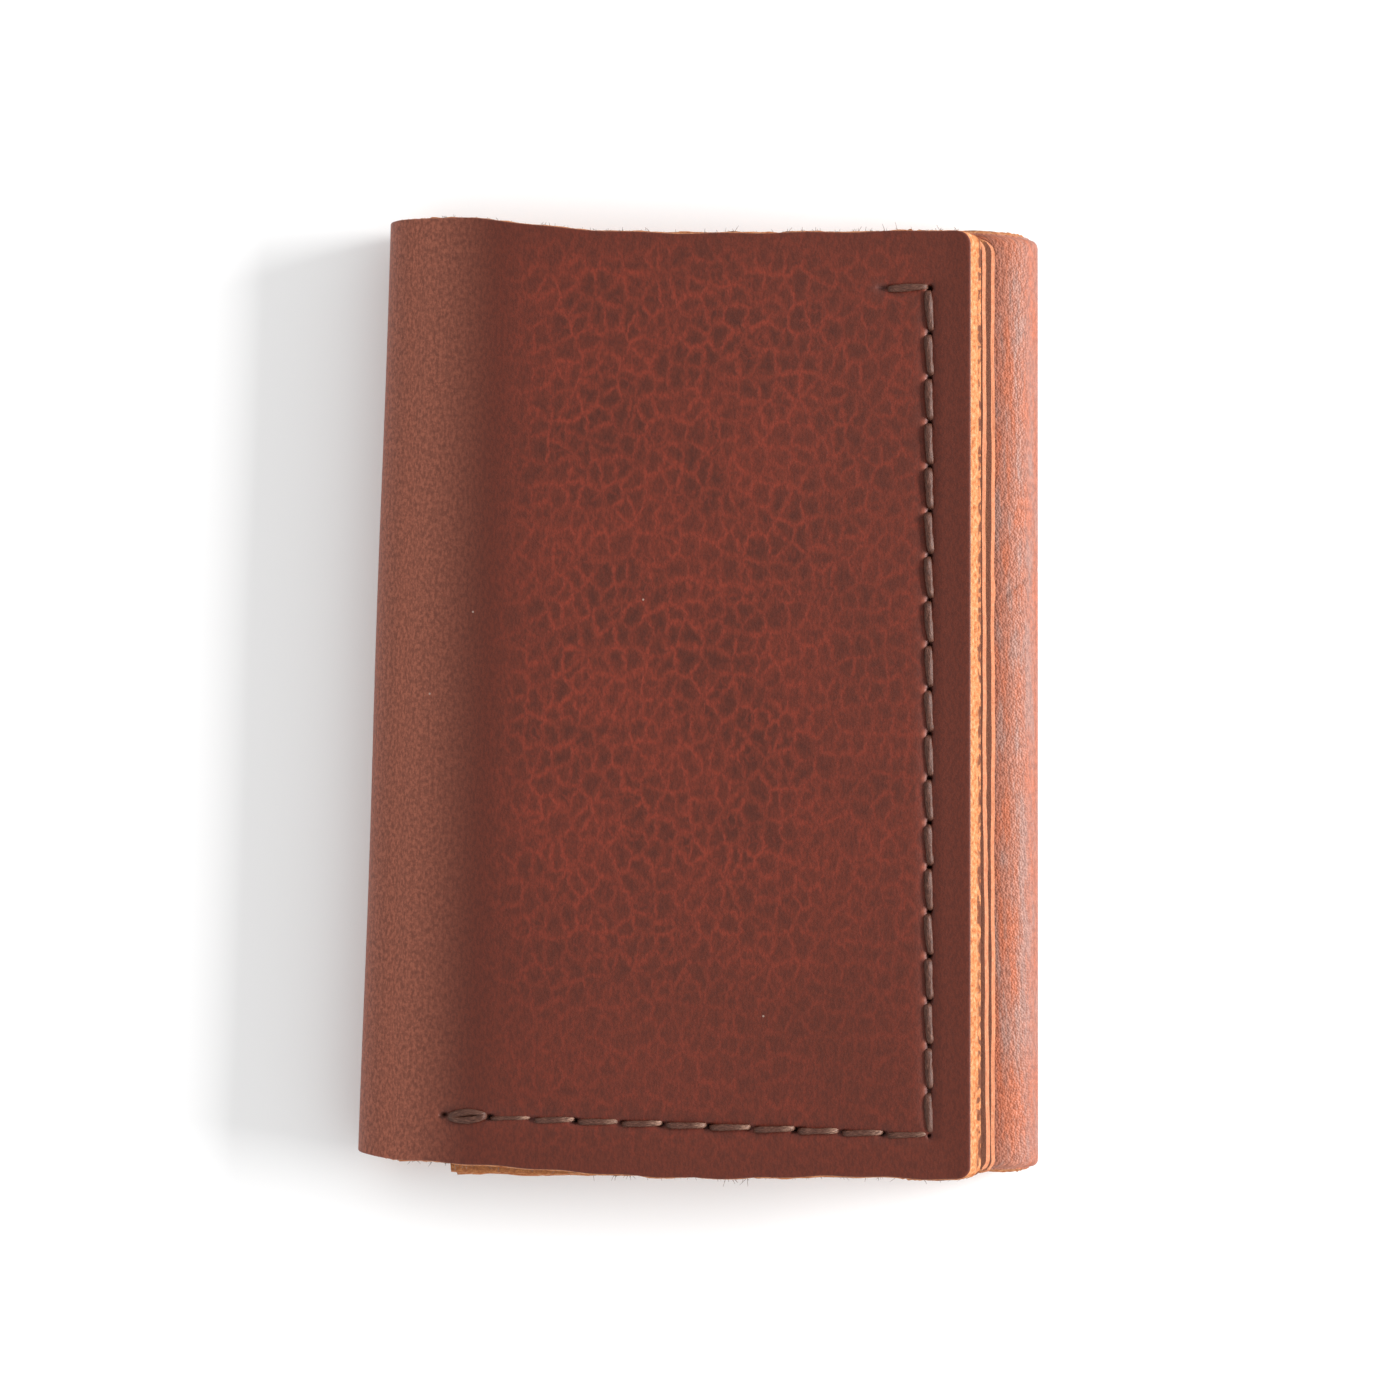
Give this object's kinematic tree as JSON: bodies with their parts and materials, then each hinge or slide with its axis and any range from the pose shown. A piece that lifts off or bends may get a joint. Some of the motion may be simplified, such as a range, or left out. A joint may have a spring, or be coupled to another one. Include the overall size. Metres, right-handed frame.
{
  "type": "card holder",
  "caption": "Folding leather card holder: stitched card pockets inside the front cover and a back pocket turned over along one edge.",
  "frame": {"origin": "centre of the closed holder's footprint, on the surface its back panel lies on", "axes": "+X from the spine towards the right fold, +Y along the spine towards the top edge, +Z out of the front cover"},
  "size_m": [0.073, 0.1, 0.01],
  "materials": {
    "cover_leather": "vegetable-tanned, grained and waxed, worn satin",
    "turned_leather": "the same leather, lighter where it turns over, fine grain",
    "pocket_leather": "thin vegetable-tanned leather, raw cut edges",
    "waxed_thread": "dark brown waxed linen thread"
  },
  "bodies": {
    "back": {"back_panel": "cover_leather", "pocket_fold": "turned_leather", "back_pocket": "turned_leather", "back_seam_thread": "waxed_thread"},
    "spine_lower": {"spine_lower": "cover_leather"},
    "spine_middle": {"spine_middle": "cover_leather"},
    "spine_upper": {"spine_upper": "cover_leather"},
    "front": {"front_cover": "cover_leather", "card_pocket_upper": "pocket_leather", "card_pocket_lower": "pocket_leather", "front_seam_thread": "waxed_thread"}
  },
  "joints": [
    {"name": "spine_bend_back", "type": "hinge", "parent": "back", "child": "spine_lower", "pos_m": [-0.03341, 0, 0.00038], "axis": [0, -1, 0], "range_deg": [0, 45]},
    {"name": "spine_bend_lower", "type": "hinge", "parent": "spine_lower", "child": "spine_middle", "pos_m": [-0.03612, 0, 0.00309], "axis": [0, -1, 0], "range_deg": [0, 45]},
    {"name": "spine_bend_upper", "type": "hinge", "parent": "spine_middle", "child": "spine_upper", "pos_m": [-0.03612, 0, 0.00691], "axis": [0, -1, 0], "range_deg": [0, 45]},
    {"name": "spine_bend_front", "type": "hinge", "parent": "spine_upper", "child": "front", "pos_m": [-0.03341, 0, 0.00962], "axis": [0, -1, 0], "range_deg": [0, 45]}
  ]
}
